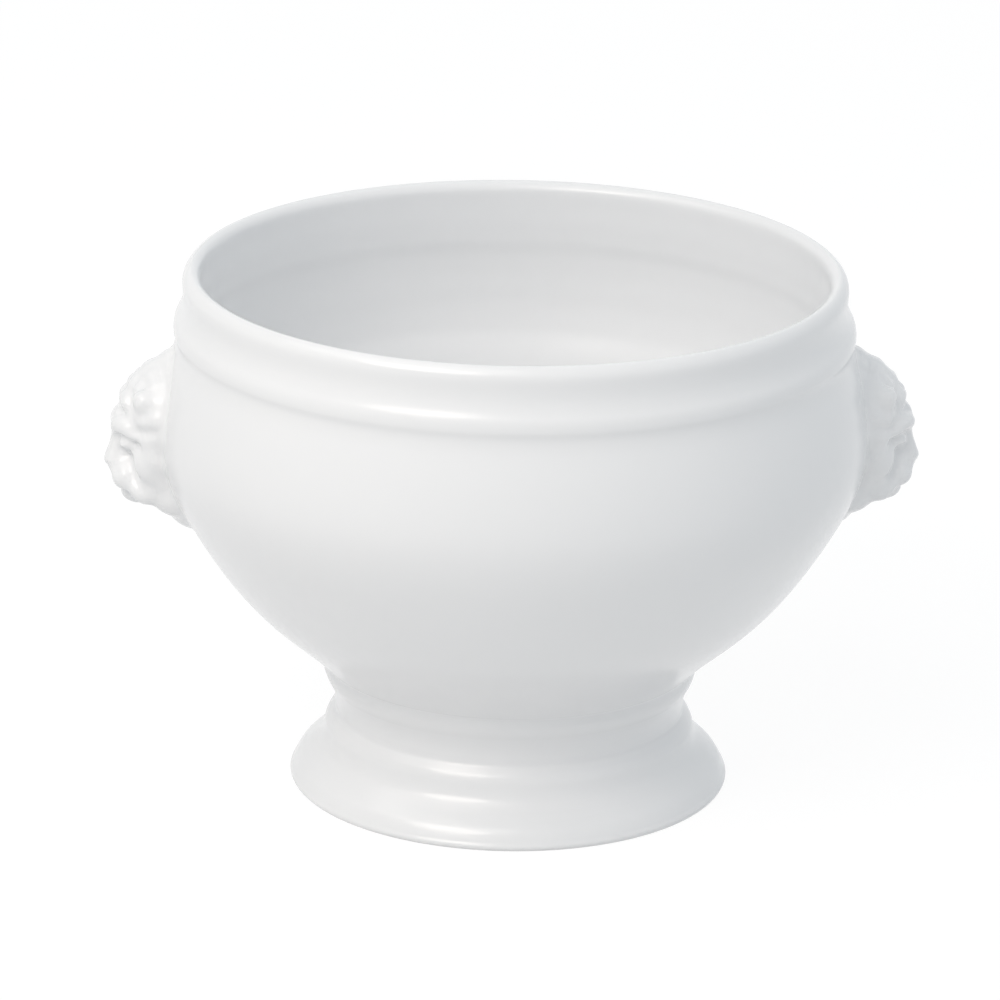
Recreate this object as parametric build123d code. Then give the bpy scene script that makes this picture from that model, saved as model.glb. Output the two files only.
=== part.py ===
"""Footed soup bowl in white porcelain with a lion head on each side.

Millimetres. The origin is the centre of the standing ring, +Z is up and the heads lie on the X axis.
The bowl, the foot and the two heads are made apart, then luted together with slip before glazing.
Profiles are lists of stations from the top down. A station is a radius, a height and a lean: the angle in
degrees by which the wall runs towards the axis as it goes down, so an opening wall has a negative lean.
"""
import math
import os

from build123d import *

# Leans of an upright wall and of a floor
plumb = 0.0
level = 90.0

# Slip that joins the pieces
slip_thickness = 0.4

# Foot, as heights stacked from the standing ring upwards
toe_height = 0.9
skirt_height = 3.3
shoulder_height = 4.6
cove_height = 4.1
ridge_height = 1.7
neck_height = 7.4

# Foot, as diameters, steps on the radius and leans
toe_diameter = 81.0
toe_rounding = 0.7
skirt_step = 1.8           # skirt inside the toe
shoulder_step = 3.4        # shoulder inside the skirt
ridge_step = 2.1           # ridge inside the shoulder
notch_depth = 0.7          # groove above the ridge
collar_diameter = 68.8     # where the foot meets the bowl
neck_wall = 7.4            # foot's wall at the collar
skirt_lean = -38.0
shoulder_lean = -18.0
ridge_lean = -12.0
neck_lean = 5.0
standing_ring_width = 4.6
hollow_lean = -32.0

# Whole height, and the bowl as heights stacked from the lip downwards
overall_height = 97.0
band_height = 6.3
bead_height = 5.6
upper_belly_height = 18.6
lower_belly_height = 15.1
taper_height = 11.6        # straight taper at the bottom, from the top of the foot's slip upwards

# Bowl, as diameters, insets from the belly's radius and leans
belly_diameter = 128.8
root_overhang = 0.3        # bowl's root outside the foot's collar
hip_inset = 5.1
taper_inset = 18.0
crease_inset = 3.2
hip_lean = 30.0
taper_lean = 46.0
root_lean = 42.0
crease_lean = -22.0
bead_projection = 0.65
band_slope = 0.35          # how far the band opens from the lip down to the bead
band_hollow = 0.15
lip_diameter = 120.0
lip_thickness = 3.3

# Inside of the bowl
wall_thickness = 6.0
bottom_thickness = 6.0
floor_diameter = 46.0
throat_thickness = 4.2     # wall behind the crease under the bead
throat_lean = -7.0

# Lion head: where it sits and the patch of wall that its relief covers
head_rise = -0.5           # middle of the face above the belly's widest circle
patch_half_width = 14.4
patch_above = 18.0
patch_below = 19.5
patch_depth = 30.0         # how far the relief's block runs back into the wall before it is cut
relief_step = 1.2          # spacing of the points that carry the relief's surface
relief_tolerance = 0.1
relief_softness = 0.7      # how softly the masses melt into each other

# Masses of the head: how far each stands out from the belly, its place to the side and above the middle of
# the face, and its rounding across and up and down. A mass that stands to the side has a twin opposite.
head_masses = {
    "crown": (8.2, 0.0, 3.0, 7.2, 9.0),
    "forelock": (9.1, 0.0, 4.2, 1.5, 4.0),
    "top_lock": (6.9, 3.4, 11.0, 1.3, 2.2),
    "outer_lock": (5.2, 6.9, 10.6, 1.3, 2.2),
    "ear": (6.4, 8.0, 6.6, 1.5, 2.0),
    "side_lock": (4.9, 10.2, 1.2, 1.2, 3.2),
    "brow": (9.2, 3.1, 2.4, 2.2, 1.5),
    "bridge": (8.7, 0.0, -0.5, 1.1, 7.0),
    "nose": (10.2, 0.0, -4.6, 1.5, 2.0),
    "cheek": (6.2, 6.6, -3.8, 2.4, 2.8),
    "muzzle": (9.2, 2.4, -5.8, 2.0, 2.2),
    "jowl": (7.7, 4.4, -8.0, 2.0, 2.0),
    "chin": (7.3, 0.0, -10.6, 2.2, 1.6),
    "jaw": (5.2, 0.0, -10.2, 4.4, 2.5),
    "beard_lock": (3.0, 8.0, -9.0, 1.4, 2.8),
}

shoulder_level = toe_height + skirt_height + shoulder_height
ridge_level = shoulder_level + cove_height
notch_level = ridge_level + ridge_height
foot_top = notch_level + neck_height
bowl_base = foot_top + slip_thickness
taper_level = bowl_base + taper_height
bead_level = overall_height - band_height
crease_level = bead_level - bead_height
belly_level = crease_level - upper_belly_height
hip_level = belly_level - lower_belly_height
belly_radius = belly_diameter / 2
collar_radius = collar_diameter / 2
bore_radius = collar_radius - neck_wall


def direction(lean):
    """Unit step down a wall of this lean, as radius and height."""
    angle = math.radians(lean)
    return -math.sin(angle), -math.cos(angle)


def flow(upper, lower):
    """Smooth curve from one station to the next, leaving and arriving along the lean of each."""
    handle = math.dist(upper[:2], lower[:2]) / 3
    leaving = direction(upper[2])
    arriving = direction(lower[2])
    first = (upper[0] + handle * leaving[0], upper[1] + handle * leaving[1])
    second = (lower[0] - handle * arriving[0], lower[1] - handle * arriving[1])
    return Bezier(upper[:2], first, second, lower[:2])


def flows(stations):
    """Chain of curves through all the stations of a profile."""
    return [flow(upper, lower) for upper, lower in zip(stations, stations[1:])]


def inward(station, thickness):
    """The station moved squarely into the wall by a thickness."""
    across, down = direction(station[2])
    return station[0] + down * thickness, station[1] - across * thickness, station[2]


def turned(edges):
    """Solid of revolution about the Z axis from a closed outline in radius and height."""
    outline = Plane.XZ * make_face(edges)
    return revolve(outline, axis=Axis.Z)


def outer_stations():
    """The bowl's outside from the crease under the bead down to the root."""
    return [
        (belly_radius - crease_inset, crease_level, crease_lean),
        (belly_radius, belly_level, plumb),
        (belly_radius - hip_inset, hip_level, hip_lean),
        (belly_radius - taper_inset, taper_level, taper_lean),
        (collar_radius + root_overhang, bowl_base, root_lean),
    ]


def outside_edges(growth):
    """Rim band, bead, belly and taper from the lip down to the root, grown squarely by a thickness."""
    stations = [inward(station, -growth) for station in outer_stations()]
    crease = stations[0][:2]
    lip_outside = (lip_diameter / 2 + growth, overall_height - lip_thickness / 2)
    band_foot = (lip_diameter / 2 + band_slope + growth, bead_level)
    band_middle = ((lip_outside[0] + band_foot[0]) / 2 - band_hollow, (lip_outside[1] + band_foot[1]) / 2)
    bead_crest = ((band_foot[0] + crease[0]) / 2 + bead_projection, (band_foot[1] + crease[1]) / 2)
    return [
        ThreePointArc(lip_outside, band_middle, band_foot),
        ThreePointArc(band_foot, bead_crest, crease),
        *flows(stations),
    ]


def inside_edges():
    """Lip and inside wall, from the outside of the lip over it and down to the middle of the floor."""
    lip_middle = (lip_diameter - lip_thickness) / 2
    lip_level = overall_height - lip_thickness / 2
    lip_outside = (lip_diameter / 2, lip_level, plumb)
    lip_inside = (lip_diameter / 2 - lip_thickness, lip_level, plumb)
    crease, belly, hip, taper, root = outer_stations()
    floor_level = bowl_base + bottom_thickness
    throat = (crease[0] - throat_thickness, crease_level, throat_lean)
    floor_edge = (floor_diameter / 2, floor_level, level)
    walls = [inward(station, wall_thickness) for station in (belly, hip, taper)]
    return [
        flow((lip_middle, overall_height, -level), lip_outside),
        flow((lip_middle, overall_height, level), lip_inside),
        Line(lip_inside[:2], throat[:2]),
        *flows([throat, *walls, floor_edge]),
        Line(floor_edge[:2], (0, floor_level)),
    ]


def bowl_body():
    """Bowl with its rounded lip, rim band, bead, belly and closed bottom."""
    root = outer_stations()[-1][:2]
    floor_level = bowl_base + bottom_thickness
    underside = Line(root, (0, bowl_base))
    axis = Line((0, bowl_base), (0, floor_level))
    return turned([*outside_edges(0.0), underside, axis, *inside_edges()])


def pedestal_foot():
    """Hollow foot with a neck, a groove, a ridge, a cove and a flared skirt on its standing ring."""
    toe = toe_diameter / 2
    skirt = toe - skirt_step
    shoulder = skirt - shoulder_step
    ridge = shoulder - ridge_step
    stations = [
        (collar_radius, foot_top, neck_lean),
        (ridge - notch_depth, notch_level, plumb),
        (ridge, ridge_level, ridge_lean),
        (shoulder, shoulder_level, shoulder_lean),
        (skirt, toe_height + skirt_height, skirt_lean),
        (toe, toe_height, plumb),
    ]
    standing_outer = toe - toe_rounding
    standing_inner = standing_outer - standing_ring_width
    return turned([
        *flows(stations),
        Bezier((toe, toe_height), (toe, 0), (standing_outer, 0)),
        Line((standing_outer, 0), (standing_inner, 0)),
        flow((bore_radius, foot_top, plumb), (standing_inner, 0, hollow_lean)),
        Line((bore_radius, foot_top), (collar_radius, foot_top)),
    ])


def foot_slip_joint():
    """Ring of slip between the foot's top and the underside of the bowl."""
    ring = Cylinder(collar_radius, slip_thickness) - Cylinder(bore_radius, slip_thickness)
    return Pos(0, 0, foot_top + slip_thickness / 2) * ring


def filled_form(growth):
    """The bowl's outside as a solid form, grown squarely by a thickness."""
    edges = outside_edges(growth)
    top = edges[0] @ 0
    bottom = edges[-1] @ 1
    return turned([
        *edges,
        Line(bottom, (0, bottom.Y)),
        Line((0, bottom.Y), (0, top.Y)),
        Line((0, top.Y), top),
    ])


def relief(side, up):
    """How far the face stands out from the belly at a place on it, with its masses melted together."""
    total = 0.0
    for out, beside, above, across, along in head_masses.values():
        for twin in {beside, -beside}:
            height = out - (side - twin) ** 2 / (2 * across) - (up - above) ** 2 / (2 * along)
            total += math.exp(height / relief_softness)
    return relief_softness * math.log(total)


def head_form():
    """The right-hand head as a block whose front is the relief and whose back runs into the wall."""
    columns = round(2 * patch_half_width / relief_step)
    rows = round((patch_above + patch_below) / relief_step)
    middle = belly_level + head_rise
    points = []
    for column in range(columns + 1):
        side = patch_half_width * (2 * column / columns - 1)
        line = []
        for row in range(rows + 1):
            up = (patch_above + patch_below) * row / rows - patch_below
            line.append(Vector(belly_radius + relief(side, up), side, middle + up))
        points.append(line)
    front = Face.make_surface_from_array_of_points(points, tol=relief_tolerance)
    return extrude(front, amount=patch_depth, dir=(-1, 0, 0))


def main():
    os.makedirs("parts", exist_ok=True)
    form = head_form()
    wall = filled_form(0.0)
    bed = filled_form(slip_thickness)
    head = form - bed
    head_slip = form & (bed - wall)
    half_turn = Rot(0, 0, 180)
    pieces = {
        "bowl_body": bowl_body(),
        "pedestal_foot": pedestal_foot(),
        "foot_slip_joint": foot_slip_joint(),
        "lion_head_right": head,
        "lion_head_left": half_turn * head,
        "lion_head_slip_right": head_slip,
        "lion_head_slip_left": half_turn * head_slip,
    }
    for name, piece in pieces.items():
        export_step(piece, f"parts/{name}.step")
    print(f"{len(pieces)} pieces, {overall_height:.1f} mm high")


main()
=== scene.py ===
# %% [markdown]
# # A footed soup bowl with two lion heads
#
# The bowl is white porcelain under a clear glossy glaze. A potter would turn or cast the bowl and the foot,
# press the two lion heads in a mould, stick everything together with slip and then glaze the whole.
# This lesson builds the looks of it in the same order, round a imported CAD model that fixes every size.
# Lengths are written in millimetres and turned into metres with MM, because Blender works in metres.

# %% Load the frame
import math

import bmesh
import bpy
import numpy as np
from mathutils import Matrix, Quaternion, Vector


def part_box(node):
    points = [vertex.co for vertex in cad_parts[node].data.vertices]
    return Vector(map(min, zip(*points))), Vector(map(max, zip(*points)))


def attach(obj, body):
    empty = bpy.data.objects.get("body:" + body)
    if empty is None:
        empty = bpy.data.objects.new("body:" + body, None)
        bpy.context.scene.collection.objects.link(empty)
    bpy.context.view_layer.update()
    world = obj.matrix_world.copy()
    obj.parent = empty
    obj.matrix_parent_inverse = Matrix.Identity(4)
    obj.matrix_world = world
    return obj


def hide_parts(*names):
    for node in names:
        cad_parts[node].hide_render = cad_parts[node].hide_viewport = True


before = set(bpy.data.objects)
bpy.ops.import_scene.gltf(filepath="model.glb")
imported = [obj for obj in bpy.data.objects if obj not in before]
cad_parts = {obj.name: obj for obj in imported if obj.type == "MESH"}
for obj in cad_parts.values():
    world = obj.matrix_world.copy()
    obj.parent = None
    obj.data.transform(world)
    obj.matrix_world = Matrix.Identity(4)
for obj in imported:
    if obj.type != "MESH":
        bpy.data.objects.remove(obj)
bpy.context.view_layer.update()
MM = 0.001
print("nodes:", sorted(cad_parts))

# %% [markdown]
# ## The turned profile
#
# A turned pot is one outline swept round an axis, so the outline is where its character lies. It is written
# here as stations: a radius, a height and a lean, which is how many degrees the wall runs towards the axis
# as it goes down. Between two stations a cubic curve leaves and arrives along their leans. That needs few
# numbers and gives smooth walls. A run is a chain of stations, and two runs that meet make a crease.

# %% Stations and runs
PLUMB = 0.0
LEVEL = 90.0
SAMPLE_LENGTH = 0.55
LEAST_SAMPLES = 4


def step_down(lean):
    """Unit step down a wall of this lean, as radius and height."""
    angle = math.radians(lean)
    return Vector((-math.sin(angle), -math.cos(angle)))


def flow(upper, lower):
    """Points of the curve between two stations, without the last one."""
    start = Vector(upper[:2])
    end = Vector(lower[:2])
    handle = (end - start).length / 3
    first = start + step_down(upper[2]) * handle
    second = end - step_down(lower[2]) * handle
    count = max(LEAST_SAMPLES, math.ceil((end - start).length / SAMPLE_LENGTH))
    points = []
    for index in range(count):
        t = index / count
        s = 1 - t
        points.append(start * s**3 + first * 3 * s * s * t + second * 3 * s * t * t + end * t**3)
    return points


def run(stations):
    """Points of a chain of stations, from the top down, with both ends."""
    points = [point for pair in zip(stations, stations[1:]) for point in flow(*pair)]
    return points + [Vector(stations[-1][:2])]


def softened(points, passes):
    """The outline with its corners eased, as a coat of glaze eases them. The two ends stay."""
    for _ in range(passes):
        middles = [(a + 2 * b + c) / 4 for a, b, c in zip(points, points[1:], points[2:])]
        points = [points[0], *middles, points[-1]]
    return points


print("one sample every", SAMPLE_LENGTH, "mm")

# %% [markdown]
# ## Sizes of the bowl
#
# The overall sizes are read from the CAD nodes, so the looks can't drift away from the model. The rest are
# the heights of the rim band, the bead under it, the belly and the taper, and the thicknesses of the walls.

# %% Levels and radii of the bowl and the foot
bowl_low, bowl_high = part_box("bowl_body")
foot_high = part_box("pedestal_foot")[1]
belly_radius = bowl_high[0] / MM
rim_top = bowl_high[2] / MM
bowl_base = bowl_low[2] / MM
foot_top = foot_high[2] / MM
toe_radius = foot_high[0] / MM

lip_radius = 60.0
lip_thickness = 3.3
band_height = 6.3
bead_height = 5.6
upper_belly_height = 18.6
lower_belly_height = 15.1
taper_height = 11.6
throat_inset = 7.2
bottom_thickness = 6.0
floor_radius = 23.0
root_overhang = 0.3
collar_radius = 34.4
neck_wall = 7.4

lip_level = rim_top - lip_thickness / 2
bead_top = rim_top - band_height
crease_level = bead_top - bead_height
belly_level = crease_level - upper_belly_height
hip_level = belly_level - lower_belly_height
taper_level = bowl_base + taper_height
floor_level = bowl_base + bottom_thickness
throat_radius = belly_radius - throat_inset
root_radius = collar_radius + root_overhang
bore_radius = collar_radius - neck_wall
print(f"rim top {rim_top:.1f} mm, belly radius {belly_radius:.1f} mm")

# %% [markdown]
# ## Turning an outline into a mesh
#
# Blender's Screw modifier could turn the outline. A short function is used instead, because it can also move
# each ring a little. Porcelain goes slightly oval and three-sided in the kiln, and that slow unevenness is
# what makes its reflections look real. Here it is under a tenth of a millimetre.

# %% A lathe with a slightly uneven firing
AXIS = 1e-6
TURNS = 240
OVAL = 0.05
THREE_SIDED = 0.03
OVAL_TURN = 0.7             # radians
THREE_SIDED_TURN = 2.1      # radians
FIRING_TWIST = 0.02         # radians for each millimetre of height


def add_piece(name, points, faces):
    """A smooth-shaded object from points in millimetres, with its faces turned outwards."""
    mesh = bpy.data.meshes.new(name)
    mesh.from_pydata((np.asarray(points) * MM).tolist(), [], faces)
    shape = bmesh.new()
    shape.from_mesh(mesh)
    bmesh.ops.recalc_face_normals(shape, faces=shape.faces[:])
    shape.to_mesh(mesh)
    shape.free()
    mesh.polygons.foreach_set("use_smooth", [True] * len(mesh.polygons))
    piece = bpy.data.objects.new(name, mesh)
    bpy.context.scene.collection.objects.link(piece)
    return piece


def ring_points(radius, height):
    """One ring of the lathe, or a single point where the outline meets the axis."""
    if radius < AXIS:
        return np.array([[0.0, 0.0, height]])
    angle = np.arange(TURNS) * math.tau / TURNS
    oval = OVAL * np.cos(2 * angle + OVAL_TURN)
    three_sided = THREE_SIDED * np.cos(3 * angle + THREE_SIDED_TURN + FIRING_TWIST * height)
    uneven = radius + oval + three_sided
    return np.stack([uneven * np.cos(angle), uneven * np.sin(angle), np.full(TURNS, height)], axis=1)


def lathe(name, outline, closed=False):
    """A turned piece. A closed outline becomes a ring, and an open one must start and end on the axis."""
    rings = [ring_points(radius, height) for radius, height in outline]
    starts = np.cumsum([0] + [len(ring) for ring in rings])
    pairs = list(zip(range(len(rings)), range(1, len(rings))))
    if closed:
        pairs.append((len(rings) - 1, 0))
    faces = []
    for upper, lower in pairs:
        for turn in range(TURNS):
            corners = [
                starts[upper] + turn % len(rings[upper]),
                starts[lower] + turn % len(rings[lower]),
                starts[lower] + (turn + 1) % len(rings[lower]),
                starts[upper] + (turn + 1) % len(rings[upper]),
            ]
            faces.append([int(corner) for corner in dict.fromkeys(corners)])
    return add_piece(name, np.vstack(rings), faces)


print("lathe steps round:", TURNS)

# %% [markdown]
# ## The bowl's outside
#
# From the lip down: a rounded lip, a nearly upright rim band, a shallow bead, a crease where glaze gathers,
# then the full belly and a straight taper to the root. One long chain of stations would round the crease
# away, so two runs meet there. A little softening then eases it, as a coat of glaze does.

# %% Outside of the bowl
GLAZE_PASSES = 2
LIP_TOP = (lip_radius - lip_thickness / 2, rim_top)
LIP_SHOULDER = (lip_radius - 0.9, rim_top - 0.45, -48.0)
LIP_FACE = (lip_radius - 0.4, rim_top - 1.1, -33.0)
LIP_EDGE = (lip_radius - 0.05, rim_top - 2.0, -8.0)
BAND_TOP = (lip_radius - 0.05, rim_top - 3.4, 4.0)
BAND = (lip_radius - 0.1, rim_top - 4.8, -1.0)
BAND_FOOT = (lip_radius + 0.15, bead_top - 0.3, -18.0)
BEAD_FACE = (lip_radius + 1.0, bead_top - 2.3, -38.0)
BEAD_CREST = (lip_radius + 1.6, bead_top - 4.6, PLUMB)
BEAD_FOOT = (lip_radius + 1.35, crease_level - 0.1, 30.0)
CREASE = (belly_radius - 3.15, crease_level - 0.5, 2.0)
CREASE_FOOT = (belly_radius - 2.95, crease_level - 2.5, -10.0)
BELLY_TOP = (belly_radius - 2.25, crease_level - 5.1, -16.0)
BELLY = (belly_radius, belly_level, PLUMB)
HIP = (belly_radius - 5.1, hip_level, 30.0)
TAPER = (belly_radius - 18.0, taper_level, 46.0)
ROOT = (root_radius + 0.95, bowl_base + 1.9, 44.0)
ROOT_EDGE = (root_radius - 0.1, bowl_base + 0.8, 40.0)
ROOT_UNDER = (root_radius - 1.7, bowl_base - 0.1, 82.0)

rim_outside = run([
    (*LIP_TOP, -LEVEL), LIP_SHOULDER, LIP_FACE, LIP_EDGE,
    BAND_TOP, BAND, BAND_FOOT, BEAD_FACE, BEAD_CREST, BEAD_FOOT,
])
belly_outside = run([CREASE, CREASE_FOOT, BELLY_TOP, BELLY, HIP, TAPER, ROOT, ROOT_EDGE, ROOT_UNDER])
outside = softened(rim_outside + belly_outside, GLAZE_PASSES)
print("points of the outside:", len(outside))

# %% [markdown]
# ## The bowl's inside
#
# The lip rolls over to the straight back of the rim band, and where that meets the belly there is a soft
# line. Below it the inside has stations of its own. It stays nearly upright behind the top of the belly and
# then leans in more than the outside, so the wall is thicker below the belly than above it. Faint turning
# rings run round it, as the photograph shows, and they are only some hundredths of a millimetre deep.

# %% Inside of the bowl, and its mesh
RING_PITCH = 6.5
RING_DEPTH = 0.035
LIP_INSIDE = (lip_radius - lip_thickness, lip_level, PLUMB)
BAND_BACK = (throat_radius, crease_level + 0.4, -3.0)
THROAT = (throat_radius + 0.1, crease_level - 0.1, -15.0)
INNER_TOP = (belly_radius - 6.55, crease_level - 3.1, PLUMB)
INNER_WALL = (belly_radius - 6.5, belly_level + 10.0, 3.0)
INNER_BELLY = (belly_radius - 8.2, belly_level, 22.0)
INNER_HIP = (belly_radius - 13.4, hip_level + 2.6, 35.0)
INNER_TAPER = (belly_radius - 22.8, taper_level + 4.4, 46.0)
FLOOR_EDGE = (floor_radius, floor_level, LEVEL)

rim_inside = run([(*LIP_TOP, LEVEL), LIP_INSIDE, BAND_BACK])
belly_inside = run([THROAT, INNER_TOP, INNER_WALL, INNER_BELLY, INNER_HIP, INNER_TAPER, FLOOR_EDGE])
inside = []
for point in softened(rim_inside + belly_inside, GLAZE_PASSES):
    ring = RING_DEPTH * math.sin(math.tau * point.y / RING_PITCH)
    inside.append(Vector((point.x + ring, point.y)))

underside = [Vector((0, bowl_base)), Vector((bore_radius, bowl_base))]
floor_middle = Vector((0, floor_level))
bowl = lathe("bowl_body_glazed", underside + outside[::-1] + inside[1:] + [floor_middle])
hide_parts("bowl_body")
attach(bowl, "root")
print("bowl faces:", len(bowl.data.polygons))

# %% [markdown]
# ## The foot
#
# The foot is a hollow turned ring: a waisted neck, a ridge, a shoulder and a skirt that flares to a low
# roll. Its mouldings catch three thin highlights one above the other. A highlight sits where the surface
# leans a little over thirty degrees, so the leans of the ridge, the shoulder and the roll are the numbers
# that matter. The flat standing ring is wiped free of glaze before firing, or it would stick to the kiln
# shelf.

# %% Foot outline and mesh
toe_rounding = 0.7
standing_ring_width = 4.6
standing_outer = toe_radius - toe_rounding
standing_inner = standing_outer - standing_ring_width

COLLAR = (collar_radius - 0.7, foot_top, PLUMB)
NECK_TOP = (collar_radius - 0.93, foot_top - 2.7, 22.0)
NECK = (collar_radius - 1.37, foot_top - 3.7, 27.0)
NOTCH = (collar_radius - 2.35, foot_top - 7.6, PLUMB)
RIDGE_TOP = (toe_radius - 8.35, 13.1, -36.0)
RIDGE_FACE = (toe_radius - 7.8, 12.4, -38.0)
RIDGE = (toe_radius - 7.3, 11.75, -35.0)
RIDGE_FOOT = (toe_radius - 6.9, 11.05, -27.0)
GROOVE = (toe_radius - 6.55, 10.1, -10.0)
COVE = (toe_radius - 6.35, 9.2, -14.0)
SHOULDER_TOP = (toe_radius - 6.05, 8.3, -22.0)
SHOULDER = (toe_radius - 5.6, 7.45, -33.0)
SKIRT_TOP = (toe_radius - 5.1, 6.8, -40.0)
SKIRT = (toe_radius - 4.2, 5.85, -44.0)
SKIRT_FOOT = (toe_radius - 2.6, 4.35, -45.0)
ROLL = (toe_radius - 1.75, 3.5, -38.0)
ROLL_FOOT = (toe_radius - 1.1, 2.5, -28.0)
TOE_TOP = (toe_radius - 0.6, 1.5, -22.0)
TOE = (toe_radius - 0.2, 0.7, PLUMB)
STANDING_EDGE = (standing_outer, 0.0, LEVEL)
STANDING_BACK = (standing_inner, 0.0, 60.0)
HOLLOW_FOOT = (standing_inner + 0.5, 0.5, -32.0)
HOLLOW_TOP = (bore_radius, foot_top, PLUMB)

foot_outside = run([
    COLLAR, NECK_TOP, NECK, NOTCH, RIDGE_TOP, RIDGE_FACE, RIDGE, RIDGE_FOOT, GROOVE, COVE,
    SHOULDER_TOP, SHOULDER, SKIRT_TOP, SKIRT, SKIRT_FOOT, ROLL, ROLL_FOOT, TOE_TOP, TOE, STANDING_EDGE,
])
foot_inside = run([HOLLOW_TOP, HOLLOW_FOOT, STANDING_BACK])
foot = lathe("pedestal_foot_glazed", foot_outside + foot_inside[::-1], closed=True)
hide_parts("pedestal_foot")
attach(foot, "root")
print("foot faces:", len(foot.data.polygons))

# %% [markdown]
# ## The slip between bowl and foot
#
# Slip is runny clay, the potter's glue. The ring of it fills the crease between the bowl's root and the neck
# of the foot, stands nearly upright for two millimetres and then follows the neck inwards. Its face is a run
# like the others, with both ends hidden in the pieces that it joins, so no gap can show.

# %% Slip ring
slip_face = run([
    (root_radius + 0.05, bowl_base + 1.1, 36.0),
    (root_radius - 0.29, bowl_base + 0.5, 24.0),
    (collar_radius - 0.1, foot_top + 0.2, 8.0),
    (collar_radius - 0.15, foot_top - 0.5, 4.0),
    (collar_radius - 0.28, foot_top - 1.2, 14.0),
    (collar_radius - 0.53, foot_top - 2.0, 21.0),
    (collar_radius - 0.9, foot_top - 2.8, 28.0),
    (collar_radius - 1.4, foot_top - 3.7, 30.0),
])
slip_back = [Vector((bore_radius, foot_top)), Vector((bore_radius, bowl_base))]
foot_slip = lathe("foot_slip_fillet", slip_face + slip_back, closed=True)
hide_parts("foot_slip_joint")
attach(foot_slip, "root")
print("slip ring faces:", len(foot_slip.data.polygons))

# %% [markdown]
# ## Modelling a lion head
#
# The heads are small press-moulded ornaments, and the glaze that lies over them has melted every edge. A
# modeller lays eggs and rolls of clay side by side and smooths them together with a wet brush. The same way
# works here: eggs and strings of beads are laid in place, Blender's voxel Remesh melts them into one skin,
# and a Smooth modifier softens it. It gives real overhangs, which a height map can't. A place on the head is
# written as out from the wall, to the side and up from the middle of the face, in millimetres.

# %% Clay: eggs and rolls
TUFT_SWELL = 0.11


def unit_ball(subdivisions):
    """Points and faces of a ball of radius one."""
    shape = bmesh.new()
    bmesh.ops.create_icosphere(shape, subdivisions=subdivisions, radius=1.0)
    points = np.array([vertex.co[:] for vertex in shape.verts])
    faces = np.array([[vertex.index for vertex in face.verts] for face in shape.faces])
    shape.free()
    return points, faces


EGG = unit_ball(subdivisions=4)
BEAD = unit_ball(subdivisions=2)


def sides_of(place):
    """One for a place on the middle line, and both signs for a place that has a twin."""
    return (1,) if place[1] == 0 else (1, -1)


def lay_egg(clay, place, size, twist=0.0):
    """An egg of clay and its twin. Size is half-depth, half-width and half-height, twist is in degrees."""
    for sign in sides_of(place):
        turn = np.array(Matrix.Rotation(math.radians(sign * twist), 3, "X"))
        clay.append(((EGG[0] * size) @ turn.T + np.array(place) * (1, sign, 1), EGG[1]))


def along(values, t):
    """The smooth path through three values or places, at t from 0 to 1."""
    first, middle, last = (np.array(value, dtype=float) for value in values)
    bend = 2 * middle - (first + last) / 2
    return first * (1 - t) ** 2 + bend * 2 * t * (1 - t) + last * t * t


def lay_roll(clay, places, thickness, tufts=0, beads=40):
    """A tapering roll of clay and its twin, through three places. It can swell and narrow into tufts."""
    for sign in sides_of(places[1]):
        for t in np.linspace(0, 1, beads + 1):
            swell = 1 + TUFT_SWELL * math.cos(math.tau * tufts * t) if tufts else 1
            clay.append((BEAD[0] * along(thickness, t) * swell + along(places, t) * (1, sign, 1), BEAD[1]))


print("points of an egg:", len(EGG[0]), "and of a bead:", len(BEAD[0]))

# %% [markdown]
# ## Melting the clay
#
# Lumps that only overlap would meet in hard seams, and boolean joins would keep those seams sharp. Voxel
# Remesh builds one new skin round all the lumps instead, and Smooth then rounds what is left of the seams.

# %% One soft skin
VOXEL = 0.3


def skin_of(mesh, melt, passes):
    """The mesh as a new skin: melted together if asked, then softened by some passes of smoothing."""
    lump = bpy.data.objects.new("clay", mesh)
    bpy.context.scene.collection.objects.link(lump)
    if melt:
        remesh = lump.modifiers.new("melt", "REMESH")
        remesh.mode = "VOXEL"
        remesh.voxel_size = VOXEL
    lump.modifiers.new("soften", "SMOOTH").iterations = passes
    skin = bpy.data.meshes.new_from_object(lump.evaluated_get(bpy.context.evaluated_depsgraph_get()))
    bpy.data.objects.remove(lump)
    skin.polygons.foreach_set("use_smooth", [True] * len(skin.polygons))
    return skin


def melted(clay, passes):
    """All the lumps of clay as one soft skin."""
    counts = np.cumsum([0] + [len(points) for points, faces in clay])
    mesh = bpy.data.meshes.new("clay")
    faces = np.vstack([faces + count for (points, faces), count in zip(clay, counts)])
    mesh.from_pydata(np.vstack([points for points, faces in clay]), [], faces)
    return skin_of(mesh, True, passes)


print("clay melts at", VOXEL, "mm")

# %% [markdown]
# ## The face
#
# First the large masses: crown, hair, forehead, jaw, nape and beard, and swellings that lead the beard back
# to the wall. Over them lie brows that dip to the nose, eyes, a broad bridge and nose, whisker pads, jowls
# that hang down and back, cheeks, chin and ears. The mane lies round the face in rows of overlapping tufts,
# combed from the crown down the sides, and a ruff goes on below it round the jaw.

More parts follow.
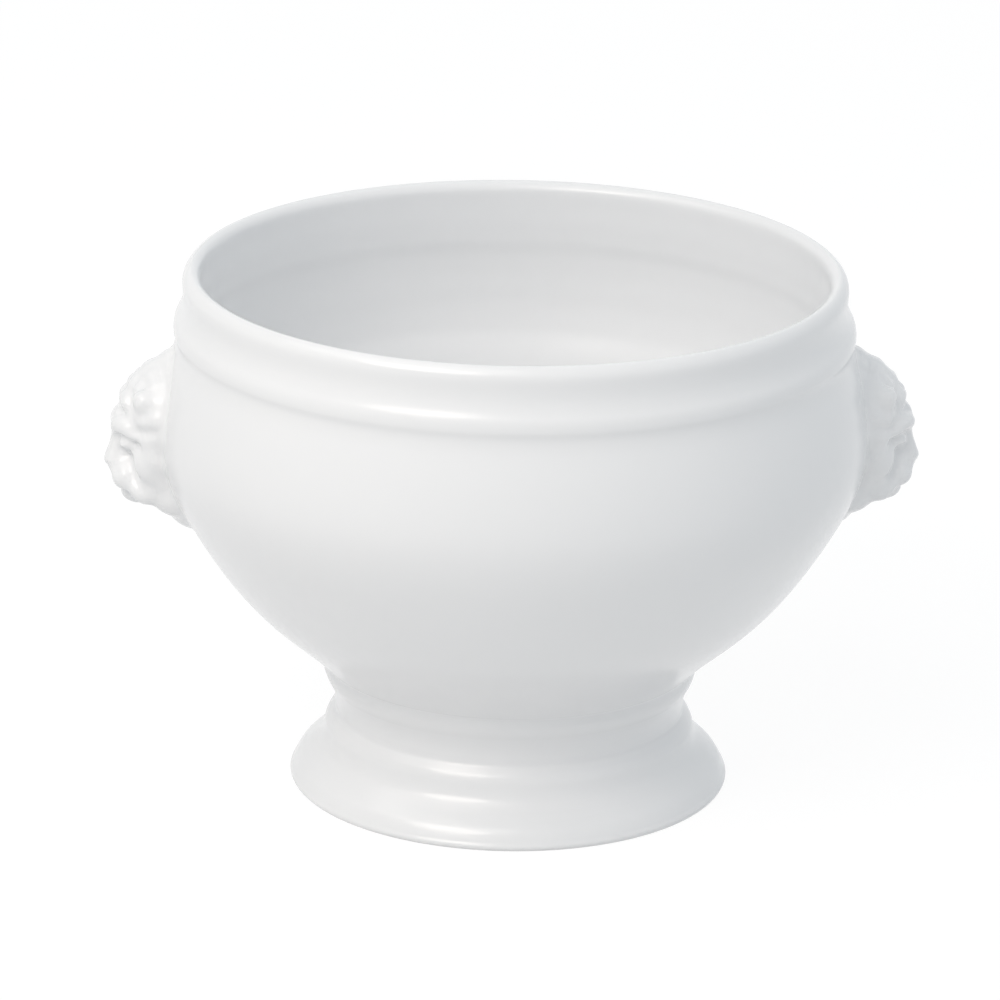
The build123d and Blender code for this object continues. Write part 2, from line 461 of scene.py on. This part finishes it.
# %% Masses of the face and rows of the mane
EGGS = {
    # place (out, side, up), then half-depth, half-width and half-height, then a twist in degrees
    "crown": ((-4.2, 0.0, 3.6), (11.4, 7.8, 11.8), 0.0),
    "hair": ((-3.8, 5.4, 4.0), (8.2, 6.0, 8.4), 0.0),
    "forehead": ((-2.0, 0.0, 1.6), (9.8, 7.0, 7.2), 0.0),
    "jaw": ((-2.6, 0.0, -4.4), (7.6, 8.4, 8.2), 0.0),
    "nape": ((-5.6, 0.0, 11.6), (5.4, 6.0, 5.4), 0.0),
    "beard": ((-2.6, 0.0, -8.8), (7.4, 6.6, 5.2), 0.0),
    "beard_side": ((-4.0, 4.6, -9.6), (5.8, 4.6, 4.8), 0.0),
    "beard_root": ((-7.4, 0.0, -12.4), (6.4, 7.6, 5.6), 0.0),
    "ear": ((2.6, 7.2, 8.2), (2.6, 2.2, 2.4), -35.0),
    "eye": ((5.2, 3.9, -0.6), (2.2, 2.4, 1.7), 12.0),
    "nose": ((7.7, 0.0, -4.8), (2.5, 3.5, 1.9), 0.0),
    "muzzle": ((4.2, 0.0, -6.0), (4.4, 4.8, 3.6), 0.0),
    "whisker_pad": ((4.6, 2.6, -7.2), (4.1, 3.4, 3.2), 16.0),
    "jowl": ((2.0, 4.9, -8.4), (3.6, 3.0, 3.6), 26.0),
    "cheek": ((0.8, 5.4, -3.4), (4.2, 4.2, 4.8), 10.0),
    "chin": ((3.5, 0.0, -10.6), (3.6, 3.4, 2.6), 0.0),
}
ROLLS = {
    # three places, then the thickness at each
    "brow": (((7.2, 1.3, 1.4), (6.7, 3.7, 2.9), (4.2, 6.8, 2.0)), (1.5, 1.8, 1.4)),
    "bridge": (((6.4, 0.0, 3.8), (6.2, 0.0, -0.6), (6.9, 0.0, -3.8)), (2.3, 2.6, 2.9)),
}
MANE = {
    # three places, then the thickness at each and the number of tufts
    "forelock": (((6.0, 0.7, 7.2), (5.2, 3.4, 7.0), (3.8, 6.0, 4.6)), (1.4, 1.6, 1.4), 2),
    "front_row": (((4.2, 0.9, 9.7), (2.9, 4.8, 8.5), (2.1, 7.8, 4.4)), (1.5, 1.9, 1.8), 3),
    "middle_row": (((1.5, 1.0, 12.2), (0.1, 5.6, 10.2), (0.1, 9.2, 5.3)), (1.5, 1.9, 1.8), 4),
    "back_row": (((-1.9, 1.0, 14.2), (-3.0, 6.4, 11.4), (-2.8, 10.6, 5.0)), (1.5, 1.9, 1.8), 4),
    "front_ruff": (((2.0, 7.9, 2.0), (0.8, 8.4, -2.6), (-0.8, 7.4, -7.6)), (1.6, 1.7, 1.4), 2),
    "back_ruff": (((-1.9, 10.4, 2.9), (-2.7, 9.9, -2.8), (-3.9, 8.2, -9.0)), (1.6, 1.8, 1.4), 2),
}


def modelled_head():
    """Every mass of the head, laid in place."""
    clay = []
    for place, size, twist in EGGS.values():
        lay_egg(clay, place, size, twist)
    for places, thickness in ROLLS.values():
        lay_roll(clay, places, thickness)
    for places, thickness, tufts in MANE.values():
        lay_roll(clay, places, thickness, tufts)
    return clay


print("masses:", len(EGGS) + len(ROLLS), "rows of the mane:", len(MANE))

# %% [markdown]
# ## Tooling the head
#
# After melting, the finer forms are pressed in with a round tool, as a modeller does: the hairline, the
# lower border of the mane, the side of the muzzle, the mouth, the corners of the eyes and the nostrils. They
# could be sculpted by hand, but a path, a radius and a depth for each furrow can be read and changed. Then
# the skin is softened a little more.

# %% Furrows
FURROWS = {
    # three places, then the radius of the tool and the depth
    "hairline": (((3.4, 2.0, 11.4), (4.9, 5.2, 7.4), (4.6, 6.8, 3.8)), 0.9, 0.5),
    "mane_border": (((4.8, 6.8, 2.4), (2.8, 8.4, 3.0), (0.1, 10.0, 3.8)), 0.9, 0.6),
    "muzzle_side": (((6.4, 4.6, -2.6), (4.8, 6.0, -5.4), (2.6, 6.9, -9.2)), 1.1, 0.9),
    "under_brow": (((7.2, 1.9, -0.6), (6.5, 3.9, 1.1), (4.4, 6.6, 0.4)), 0.7, 0.4),
    "under_eye": (((7.2, 2.4, -2.0), (6.4, 4.0, -2.1), (4.6, 6.2, -1.0)), 0.7, 0.4),
    "nose_side": (((8.0, 2.8, -3.4), (8.0, 3.4, -5.0), (7.4, 4.2, -6.0)), 0.8, 0.4),
    "mouth": (((8.6, 0.0, -8.6), (7.4, 2.8, -10.4), (4.2, 5.4, -10.8)), 0.7, 0.8),
    "lip": (((10.0, 0.0, -6.4), (9.3, 0.0, -7.6), (8.6, 0.0, -8.6)), 0.6, 0.7),
    "nostril": (((10.2, 1.3, -5.6), (9.8, 1.9, -5.6), (9.2, 2.6, -5.3)), 0.6, 0.5),
    "parting": (((4.8, 0.0, 10.8), (6.6, 0.0, 8.2), (8.2, 0.0, 4.4)), 0.8, 0.5),
    "ear_hollow": (((4.8, 7.2, 7.0), (4.6, 7.8, 8.2), (4.2, 8.0, 9.2)), 0.9, 0.6),
    "chin_side": (((6.0, 2.6, -12.0), (4.2, 3.4, -13.0), (1.2, 3.0, -14.0)), 0.8, 0.4),
}
FURROW_STEPS = 40
LAST_PASSES = 10
PRESS_MARGIN = 3.0


def places_of(skin, kind="co"):
    """The skin's points, or their normals, as one array."""
    values = np.empty(3 * len(skin.vertices))
    skin.vertices.foreach_get(kind, values)
    return values.reshape(-1, 3)


def move_to(skin, places):
    """Puts the skin's points where the array says."""
    skin.vertices.foreach_set("co", places.ravel())
    skin.update()


def press(skin, path, radius, depth):
    """Presses the tool into the skin along a path and its twin, less deep towards the ends."""
    places = places_of(skin)
    pressed = np.zeros(len(places))
    for sign in sides_of(path[len(path) // 2]):
        line = np.array(path) * (1, sign, 1)
        inside_box = (places > line.min(0) - PRESS_MARGIN) & (places < line.max(0) + PRESS_MARGIN)
        near = np.flatnonzero(inside_box.all(1))
        for step, place in enumerate(line):
            t = (step + 0.5) / len(line)
            touched = places[near[np.linalg.norm(places[near] - place, axis=1).argmin()]]
            away = np.linalg.norm(places[near] - touched, axis=1) / radius
            pressed[near] = np.maximum(pressed[near], 2 * math.sqrt(t * (1 - t)) * np.exp(-away**2))
    move_to(skin, places - places_of(skin, "normal") * (depth * pressed)[:, None])


def tooled(skin):
    """The skin with every furrow pressed, softened once more."""
    for places, radius, depth in FURROWS.values():
        press(skin, [along(places, t) for t in np.linspace(0, 1, FURROW_STEPS)], radius, depth)
    return skin_of(skin, False, LAST_PASSES)


print("furrows:", len(FURROWS))

# %% [markdown]
# ## Fitting the head to the wall
#
# The back of the head has to follow the belly. A boolean cut could do that, but it leaves a thin and ragged
# edge. Here whatever lies inside the wall is moved out to just under its surface, and what lies close to it
# is eased down, so the head keeps a closed back.

# %% The fitted back
HEAD_DROP = 0.5
HEAD_MIDDLE = belly_level - HEAD_DROP
HEAD_PLACE = np.array((belly_radius, 0.0, HEAD_MIDDLE))
SEAT_DEPTH = 0.15
EASE_HEIGHT = 0.2
wall_line = np.array(sorted((point.y, point.x) for point in outside))


def wall_radius(height):
    """Radius of the bowl's outside at a height, or at many heights."""
    return np.interp(height, wall_line[:, 0], wall_line[:, 1])


def smooth_step(share):
    """A share eased between 0 and 1, level at both ends."""
    share = np.clip(share, 0, 1)
    return share * share * (3 - 2 * share)


def seat_on_wall(skin):
    """Moves the skin to its place on the right of the bowl and fits its back to the wall."""
    places = places_of(skin) + HEAD_PLACE
    reach = np.hypot(places[:, 0], places[:, 1])
    wall = wall_radius(places[:, 2])
    eased = smooth_step((reach - wall) / EASE_HEIGHT)
    places[:, :2] *= ((np.maximum(reach, wall) - SEAT_DEPTH * (1 - eased)) / reach)[:, None]
    move_to(skin, places * MM)


print(f"middle of the face: {HEAD_MIDDLE:.1f} mm up")

# %% [markdown]
# ## A patch of the wall
#
# The head is melted together with a patch of the bowl's wall, so the softening also rounds the corner
# between them, as glaze and wiped slip do. The patch itself ends up just under the bowl's surface and
# doesn't show.

# %% Patch of the wall
PATCH_COLUMNS = 60
PATCH_ROWS = 70
PATCH_HALF_WIDTH = 17.0
PATCH_ABOVE = 17.0
PATCH_BELOW = 22.0
PATCH_DEPTH = 3.0


def wall_patch():
    """A thick patch of the bowl's wall under the head and round it."""
    columns = np.linspace(-PATCH_HALF_WIDTH, PATCH_HALF_WIDTH, PATCH_COLUMNS)
    rows = np.linspace(-PATCH_BELOW, PATCH_ABOVE, PATCH_ROWS)
    side, up = np.meshgrid(columns, rows, indexing="ij")
    wall = wall_radius(HEAD_MIDDLE + up)
    front = np.stack([np.sqrt(wall**2 - side**2) - belly_radius, side, up], axis=-1).reshape(-1, 3)
    index = np.arange(len(front)).reshape(PATCH_COLUMNS, PATCH_ROWS)
    a, b, c, d = (part.ravel() for part in (index[:-1, :-1], index[1:, :-1], index[1:, 1:], index[:-1, 1:]))
    skin = np.vstack([np.stack([a, b, c], axis=1), np.stack([a, c, d], axis=1)])
    rim = np.concatenate([index[:, 0], index[-1, 1:], index[-2::-1, -1], index[0, -2:0:-1]])
    after = np.roll(rim, -1)
    back = len(front)
    edge = np.vstack([
        np.stack([rim, rim + back, after + back], axis=1),
        np.stack([rim, after + back, after], axis=1),
    ])
    return np.vstack([front, front - (PATCH_DEPTH, 0, 0)]), np.vstack([skin, skin[:, ::-1] + back, edge])


print("points of the patch:", PATCH_COLUMNS * PATCH_ROWS)

# %% [markdown]
# ## Both heads
#
# Both heads come from one mould, so the left one is the right one turned half round the bowl.

# %% Right and left head
HALF_TURN = Matrix.Rotation(math.pi, 4, "Z")
SOFT_PASSES = 60


def both_sides(skin, name, node):
    """The skin on the right of the bowl, and a copy of it turned to the left."""
    pieces = []
    for side in ("right", "left"):
        mesh = skin.copy()
        mesh.name = name.format(side)
        if side == "left":
            mesh.transform(HALF_TURN)
        piece = bpy.data.objects.new(name.format(side), mesh)
        bpy.context.scene.collection.objects.link(piece)
        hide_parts(node.format(side))
        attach(piece, "root")
        pieces.append(piece)
    return pieces


skin = tooled(melted([*modelled_head(), wall_patch()], SOFT_PASSES))
head_skin = skin.copy()
seat_on_wall(head_skin)
heads = both_sides(head_skin, "lion_head_{}_glazed", "lion_head_{}")
print("faces of one head:", len(head_skin.polygons))

# %% [markdown]
# ## The slip round the heads
#
# A little slip squeezes out all round a head when it is pressed on, and is wiped to a soft fillet. The skin
# already has that fillet, because it was melted together with the wall. So the slip is a copy of the skin, a
# hair's breadth proud of it along the foot of the head, drawn slowly under it further out, and cut down to a
# low bed inside the head.

# %% Slip fillets
SLIP_PROUD = 0.01
SLIP_UNDER = 0.2
SLIP_TOP = 0.3
SLIP_FADE = 3.0
SLIP_BED = 1.2


def above_wall(places):
    """How far each place on the bowl stands out from the wall."""
    return np.hypot(places[:, 0], places[:, 1]) - wall_radius(places[:, 2])


slip_skin = skin.copy()
slip_places = places_of(slip_skin)
drawn_under = smooth_step((above_wall(slip_places + HEAD_PLACE) - SLIP_TOP) / SLIP_FADE)
raised = SLIP_PROUD - (SLIP_PROUD + SLIP_UNDER) * drawn_under
slip_places = slip_places + places_of(slip_skin, "normal") * raised[:, None] + HEAD_PLACE
spare = np.maximum(above_wall(slip_places) - SLIP_BED, 0)
slip_places[:, :2] *= (1 - spare / np.hypot(slip_places[:, 0], slip_places[:, 1]))[:, None]
move_to(slip_skin, slip_places - HEAD_PLACE)
seat_on_wall(slip_skin)
head_slips = both_sides(slip_skin, "lion_head_slip_{}_fillet", "lion_head_slip_{}")
print("fillet faces:", len(slip_skin.polygons))

# %% [markdown]
# ## Wiring nodes
#
# A material is a tree of nodes, which is usually wired by hand in the Shader Editor. In a script three short
# helpers keep the wiring readable: a node with its values set, a sum of two sockets and a mix of two
# colours.

# %% Helpers for nodes
# The Mix node has sockets for several kinds of data, and these are the numbers of its colour sockets
MIX_FIRST = 6
MIX_SECOND = 7
MIX_RESULT = 2


def add_node(tree, kind, **inputs):
    """A node with its input values set by socket name."""
    node = tree.nodes.new(kind)
    for name, value in inputs.items():
        node.inputs[name.replace("_", " ")].default_value = value
    return node


def math_node(tree, operation, first, second):
    """A math node fed by two sockets or numbers."""
    node = tree.nodes.new("ShaderNodeMath")
    node.operation = operation
    for socket, value in zip(node.inputs, (first, second)):
        if isinstance(value, (int, float)):
            socket.default_value = value
        else:
            tree.links.new(value, socket)
    return node.outputs[0]


def mix_colours(tree, share, first, second):
    """A colour mix of two sockets."""
    node = tree.nodes.new("ShaderNodeMix")
    node.data_type = "RGBA"
    tree.links.new(share, node.inputs["Factor"])
    tree.links.new(first, node.inputs[MIX_FIRST])
    tree.links.new(second, node.inputs[MIX_SECOND])
    return node.outputs[MIX_RESULT]


print("colour sockets of a Mix node:", MIX_FIRST, MIX_SECOND, MIX_RESULT)

# %% [markdown]
# ## One group for uneven tone
#
# Every finish here is almost white, and what tells them apart is slight: how the tone drifts, how it deepens
# in hollows, partly where glaze gathers and partly as painted shade, and how the skin ripples. Those are
# shared, so they live in one node group with named sockets. Each material sets its own amounts and keeps its
# own shader.

# %% Node group: drift, pooling with painted shade, and ripple
FLAT_POINTINESS = 0.5
HOLLOW_POINTINESS = 0.42
NOISE_MIDDLE = 0.5
RIPPLE_HEIGHT = 0.2


def fired_surface_group():
    """Tone, roughness and ripple of a fired surface, placed in the object's own space."""
    group = bpy.data.node_groups.new("fired_surface", "ShaderNodeTree")
    interface = group.interface
    for name, kind, value in (
        ("Tone", "NodeSocketColor", (0.8, 0.8, 0.8, 1.0)),
        ("Pool And Shade Tone", "NodeSocketColor", (0.7, 0.72, 0.74, 1.0)),
        ("Drift", "NodeSocketFloat", 0.2),
        ("Pooling And Shade", "NodeSocketFloat", 0.5),
        ("Drift Scale", "NodeSocketFloat", 30.0),
        ("Ripple Scale", "NodeSocketFloat", 120.0),
        ("Ripple", "NodeSocketFloat", 0.05),
        ("Roughness", "NodeSocketFloat", 0.1),
        ("Roughness Drift", "NodeSocketFloat", 0.05),
    ):
        interface.new_socket(name, in_out="INPUT", socket_type=kind).default_value = value
    interface.new_socket("Colour", in_out="OUTPUT", socket_type="NodeSocketColor")
    interface.new_socket("Gloss", in_out="OUTPUT", socket_type="NodeSocketFloat")
    interface.new_socket("Normal", in_out="OUTPUT", socket_type="NodeSocketVector")
    given = group.nodes.new("NodeGroupInput").outputs
    result = group.nodes.new("NodeGroupOutput").inputs
    place = group.nodes.new("ShaderNodeTexCoord").outputs["Object"]

    drift = add_node(group, "ShaderNodeTexNoise", Detail=3.0, Roughness=0.55)
    group.links.new(place, drift.inputs["Vector"])
    group.links.new(given["Drift Scale"], drift.inputs["Scale"])
    ripple = add_node(group, "ShaderNodeTexNoise", Detail=2.0, Roughness=0.5)
    group.links.new(place, ripple.inputs["Vector"])
    group.links.new(given["Ripple Scale"], ripple.inputs["Scale"])

    # Hollows found by pointiness take the darker pool tone: partly glaze gathering there, partly painted
    # shade in creases and recesses
    hollow = add_node(group, "ShaderNodeMapRange", From_Min=FLAT_POINTINESS, From_Max=HOLLOW_POINTINESS)
    group.links.new(group.nodes.new("ShaderNodeNewGeometry").outputs["Pointiness"], hollow.inputs["Value"])
    pooled_and_shaded = math_node(group, "MULTIPLY", hollow.outputs[0], given["Pooling And Shade"])
    drifted = math_node(group, "MULTIPLY", drift.outputs[0], given["Drift"])
    share = math_node(group, "MINIMUM", math_node(group, "ADD", pooled_and_shaded, drifted), 1.0)
    group.links.new(mix_colours(group, share, given["Tone"], given["Pool And Shade Tone"]), result["Colour"])

    offset = math_node(group, "SUBTRACT", drift.outputs[0], NOISE_MIDDLE)
    swing = math_node(group, "MULTIPLY", offset, given["Roughness Drift"])
    group.links.new(math_node(group, "ADD", given["Roughness"], swing), result["Gloss"])
    bump = add_node(group, "ShaderNodeBump", Distance=RIPPLE_HEIGHT * MM)
    group.links.new(given["Ripple"], bump.inputs["Strength"])
    group.links.new(ripple.outputs[0], bump.inputs["Height"])
    group.links.new(bump.outputs[0], result["Normal"])
    return group


fired_surface = fired_surface_group()
print("group sockets:", len(fired_surface.interface.items_tree))

# %% [markdown]
# ## Three finishes
#
# Clear glaze over porcelain is a bright, nearly neutral white with a soft gloss. In the hollows of every
# finish the tone turns darker and cooler, partly from glaze gathering there and partly as painted shade. The
# fired slip is the same white under the same glaze, a hair darker. The bare ring under the foot is unglazed
# biscuit: dry, rough and a little greyed from standing.

# %% Materials
GLAZE_IOR = 1.5
BISCUIT_IOR = 1.45
STANDING_HEIGHT = 0.12


def fired_material(name, surface, ior):
    """A material whose colour, roughness and normal come from the shared group."""
    material = bpy.data.materials.new(name)
    material.use_nodes = True
    tree = material.node_tree
    shader = tree.nodes["Principled BSDF"]
    shader.inputs["IOR"].default_value = ior
    group = tree.nodes.new("ShaderNodeGroup")
    group.node_tree = fired_surface
    for socket, value in surface.items():
        group.inputs[socket].default_value = value
    tree.links.new(group.outputs["Colour"], shader.inputs["Base Color"])
    tree.links.new(group.outputs["Gloss"], shader.inputs["Roughness"])
    tree.links.new(group.outputs["Normal"], shader.inputs["Normal"])
    return material


# Each pool tone and pooling amount below is partly glaze gathering in hollows and partly painted shade there
white_glaze = fired_material("white_glaze", {
    "Tone": (0.865, 0.87, 0.876, 1.0), "Pool And Shade Tone": (0.74, 0.755, 0.77, 1.0), "Drift": 0.10, "Pooling And Shade": 0.25,
    "Drift Scale": 26.0, "Ripple Scale": 90.0, "Ripple": 0.05, "Roughness": 0.2, "Roughness Drift": 0.05,
}, GLAZE_IOR)
glazed_slip = fired_material("glazed_slip", {
    "Tone": (0.863, 0.868, 0.873, 1.0), "Pool And Shade Tone": (0.74, 0.75, 0.76, 1.0), "Drift": 0.12, "Pooling And Shade": 0.3,
    "Drift Scale": 60.0, "Ripple Scale": 160.0, "Ripple": 0.06, "Roughness": 0.21, "Roughness Drift": 0.05,
}, GLAZE_IOR)
bare_biscuit = fired_material("bare_biscuit", {
    "Tone": (0.72, 0.705, 0.68, 1.0), "Pool And Shade Tone": (0.52, 0.50, 0.475, 1.0), "Drift": 0.5, "Pooling And Shade": 0.3,
    "Drift Scale": 140.0, "Ripple Scale": 1800.0, "Ripple": 0.5, "Roughness": 0.8, "Roughness Drift": 0.1,
}, BISCUIT_IOR)
for piece in (bowl, foot, *heads):
    piece.data.materials.append(white_glaze)
for piece in (foot_slip, *head_slips):
    piece.data.materials.append(glazed_slip)
foot.data.materials.append(bare_biscuit)
for face in foot.data.polygons:
    if face.center.z < STANDING_HEIGHT * MM:
        face.material_index = 1
print("materials:", [material.name for material in (white_glaze, glazed_slip, bare_biscuit)])

# %% [markdown]
# ## Camera
#
# The photograph was taken with a long lens from a little above the rim and slightly to the left of the
# bowl's front, with the camera tipped by less than a degree. The long lens keeps the rim's ellipse calm.

# %% Camera
AZIMUTH = -3.7
ELEVATION = 18.97
TILT = 0.88
DISTANCE = 1040.0
FOCAL_PIXELS = 5695.0
IMAGE_PIXELS = 1000.0
SENSOR_WIDTH = 36.0
AIM_RIGHT = -2.25
AIM_HEIGHT = 52.78
QUARTER_TURN = 90.0


def towards(azimuth, elevation):
    """Unit step from the pot towards a place at these angles in degrees, from its front and the floor."""
    turn = math.radians(azimuth)
    rise = math.radians(elevation)
    return Vector((math.sin(turn) * math.cos(rise), -math.cos(turn) * math.cos(rise), math.sin(rise)))


back = towards(AZIMUTH, ELEVATION)
right = towards(AZIMUTH + QUARTER_TURN, 0.0)
tilt = Quaternion((0.0, 0.0, 1.0), math.radians(TILT))
aim = right * AIM_RIGHT + Vector((0.0, 0.0, AIM_HEIGHT))
camera_data = bpy.data.cameras.new("camera")
camera_data.sensor_width = SENSOR_WIDTH
camera_data.lens = SENSOR_WIDTH * FOCAL_PIXELS / IMAGE_PIXELS
camera = bpy.data.objects.new("camera", camera_data)
camera.rotation_mode = "QUATERNION"
camera.location = (aim + back * DISTANCE) * MM
camera.rotation_quaternion = (-back).to_track_quat("-Z", "Y") @ tilt
bpy.context.scene.collection.objects.link(camera)
bpy.context.scene.camera = camera
print(f"lens {camera_data.lens:.0f} mm")

# %% [markdown]
# ## The floor
#
# The pot stands on a white sweep. A plain white floor would either grey in the picture or throw too much
# light, so it has two faces. The camera sees it as white with the pot's own faint shadow, and the pot is lit
# by an ordinary pale floor that bounces light up under its belly. A Light Path node tells the two apart.

# %% Floor
FLOOR_HALF = 4.0
FLOOR_TONE = (0.80, 0.80, 0.80, 1.0)
SHADE_TONE = (0.13, 0.13, 0.13, 1.0)
FLOOR_GLOW = 0.90
WHITE = (1.0, 1.0, 1.0, 1.0)
SQUARE = ((-1, -1), (1, -1), (1, 1), (-1, 1))
floor_mesh = bpy.data.meshes.new("floor")
floor_mesh.from_pydata([(x * FLOOR_HALF, y * FLOOR_HALF, 0) for x, y in SQUARE], [], [(0, 1, 2, 3)])
floor = bpy.data.objects.new("floor", floor_mesh)
bpy.context.scene.collection.objects.link(floor)


def end_tree(tree, lighting, seen, output):
    """Ends a shader tree: camera and reflections meet what is seen, and all else what gives light."""
    path = tree.nodes.new("ShaderNodeLightPath").outputs
    looking = math_node(tree, "MAXIMUM", path["Is Camera Ray"], path["Is Transmission Ray"])
    looking = math_node(tree, "MAXIMUM", looking, path["Is Glossy Ray"])
    choose = tree.nodes.new("ShaderNodeMixShader")
    tree.links.new(looking, choose.inputs[0])
    tree.links.new(lighting.outputs[0], choose.inputs[1])
    tree.links.new(seen.outputs[0], choose.inputs[2])
    tree.links.new(choose.outputs[0], tree.nodes.new(output).inputs[0])


def floor_material():
    """Pale floor for the pot, and for the camera a white one that keeps a faint shadow."""
    material = bpy.data.materials.new("white_floor")
    material.use_nodes = True
    tree = material.node_tree
    tree.nodes.clear()
    plain = add_node(tree, "ShaderNodeBsdfDiffuse", Color=FLOOR_TONE)
    shade = add_node(tree, "ShaderNodeBsdfDiffuse", Color=SHADE_TONE)
    white = add_node(tree, "ShaderNodeEmission", Color=WHITE, Strength=FLOOR_GLOW)
    both = tree.nodes.new("ShaderNodeAddShader")
    tree.links.new(shade.outputs[0], both.inputs[0])
    tree.links.new(white.outputs[0], both.inputs[1])
    end_tree(tree, plain, both, "ShaderNodeOutputMaterial")
    return material


floor_mesh.materials.append(floor_material())
print("floor side:", 2 * FLOOR_HALF, "m")

# %% [markdown]
# ## The room
#
# A studio's white walls light a pot softly from all round. A picture of a room could stand in for them, but
# a world shader of one tint needs no file and can be steered. Its strength leans a little to the right and
# to the back, which keeps the side away from the lamps from going dull. The camera and reflections see
# plain white instead, as on a white sweep.

# %% Surroundings
ROOM_TINT = (0.914, 0.957, 0.995, 1.0)
ROOM_LEVEL = 0.615
ROOM_LEAN = (0.17, 0.08, 0.0)


def surroundings():
    """White where the camera or a reflection looks, and soft light from all round for everything else."""
    world = bpy.data.worlds.new("studio")
    bpy.context.scene.world = world
    world.use_nodes = True
    tree = world.node_tree
    tree.nodes.clear()
    facing = tree.nodes.new("ShaderNodeVectorMath")
    facing.operation = "DOT_PRODUCT"
    facing.inputs[1].default_value = ROOM_LEAN
    tree.links.new(tree.nodes.new("ShaderNodeTexCoord").outputs["Generated"], facing.inputs[0])
    light = add_node(tree, "ShaderNodeBackground", Color=ROOM_TINT)
    tree.links.new(math_node(tree, "ADD", facing.outputs["Value"], ROOM_LEVEL), light.inputs["Strength"])
    white = add_node(tree, "ShaderNodeBackground", Color=WHITE, Strength=1.0)
    end_tree(tree, light, white, "ShaderNodeOutputWorld")


surroundings()
print("room light:", ROOM_LEVEL)

# %% [markdown]
# ## Soft lights
#
# Two oval soft lights stand on the left in front, a little warmer than the room. The smaller one, forty
# degrees up, makes the thin highlights on the foot. The broad one, higher up, brightens the lip and the
# bead. One light couldn't do both, because the size of a light sets the width of its highlights.

# %% Soft lights
LIGHT_AIM = 55.0


def soft_light(name, azimuth, elevation, distance, size, watts, tint):
    """An oval soft light aimed at the pot, placed by angles from its front, with lengths in metres."""
    lamp = bpy.data.lights.new(name, "AREA")
    lamp.shape = "ELLIPSE"
    lamp.size, lamp.size_y = size
    lamp.energy = watts
    lamp.color = tint
    light = bpy.data.objects.new(name, lamp)
    away = towards(azimuth, elevation)
    light.location = Vector((0.0, 0.0, LIGHT_AIM * MM)) + away * distance
    light.rotation_mode = "QUATERNION"
    light.rotation_quaternion = (-away).to_track_quat("-Z", "Y")
    bpy.context.scene.collection.objects.link(light)


soft_light(
    "key_light", azimuth=-39.0, elevation=40.0, distance=1.1, size=(0.7, 0.4), watts=3.0,
    tint=(1.0, 0.925, 0.86),
)
soft_light(
    "side_light", azimuth=-53.0, elevation=55.0, distance=1.2, size=(1.7, 0.9), watts=4.8,
    tint=(1.0, 0.965, 0.92),
)

# %% [markdown]
# ## Finish
#
# The view transform is Standard, so a colour renders as it is written.

# %% Colour management
bpy.context.scene.view_settings.view_transform = "Standard"
